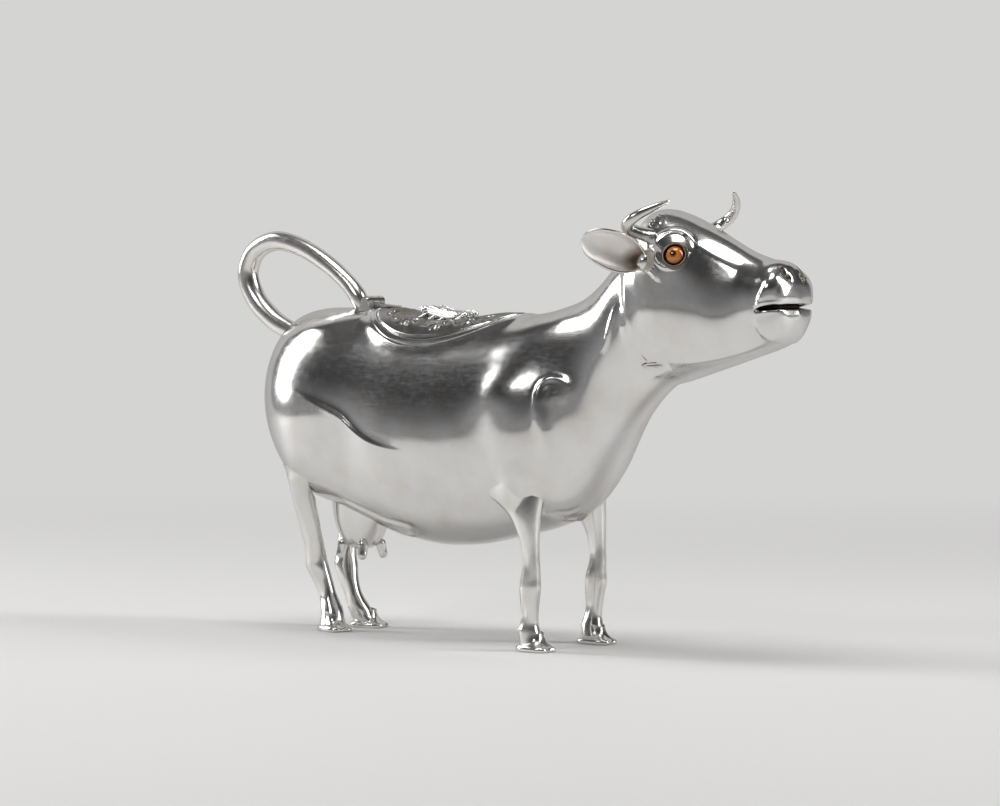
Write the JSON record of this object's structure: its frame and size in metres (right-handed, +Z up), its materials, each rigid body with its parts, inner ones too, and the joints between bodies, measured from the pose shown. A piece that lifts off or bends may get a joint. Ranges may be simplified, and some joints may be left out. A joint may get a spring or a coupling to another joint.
{
  "type": "cow creamer",
  "caption": "Silver milk jug in the shape of a standing cow, filled through a hinged lid in its back, poured through its mouth and held by its looped tail.",
  "frame": {"origin": "on the ground under the middle of the length, midway between the back of the tail and the nose", "axes": "+X towards the cow's head, +Y towards the cow's left side, +Z up"},
  "size_m": [0.1438, 0.038, 0.0887],
  "materials": {
    "silver": "polished silver",
    "amber_glass": "amber glass with a dark pupil"
  },
  "bodies": {
    "creamer_body": {"body_right_half": "silver", "body_left_half": "silver", "head_right_half": "silver", "head_left_half": "silver", "right_ear": "silver", "left_ear": "silver", "right_horn": "silver", "left_horn": "silver", "right_eye_collet": "silver", "left_eye_collet": "silver", "right_eye": "amber_glass", "left_eye": "amber_glass", "right_fore_leg": "silver", "left_fore_leg": "silver", "right_hind_leg": "silver", "left_hind_leg": "silver", "udder": "silver", "teats": "silver", "tail": "silver", "filler_rim": "silver", "hinge_plate": "silver", "hinge_fixed_knuckles": "silver", "hinge_pin": "silver"},
    "lid": {"lid": "silver", "lid_flange": "silver", "lid_hinge_leaf": "silver", "fly": "silver"}
  },
  "joints": [
    {"name": "lid_hinge", "type": "hinge", "parent": "creamer_body", "child": "lid", "pos_m": [-0.03418, 0, 0.06747], "axis": [0, -1, 0], "range_deg": [0, 100]}
  ]
}
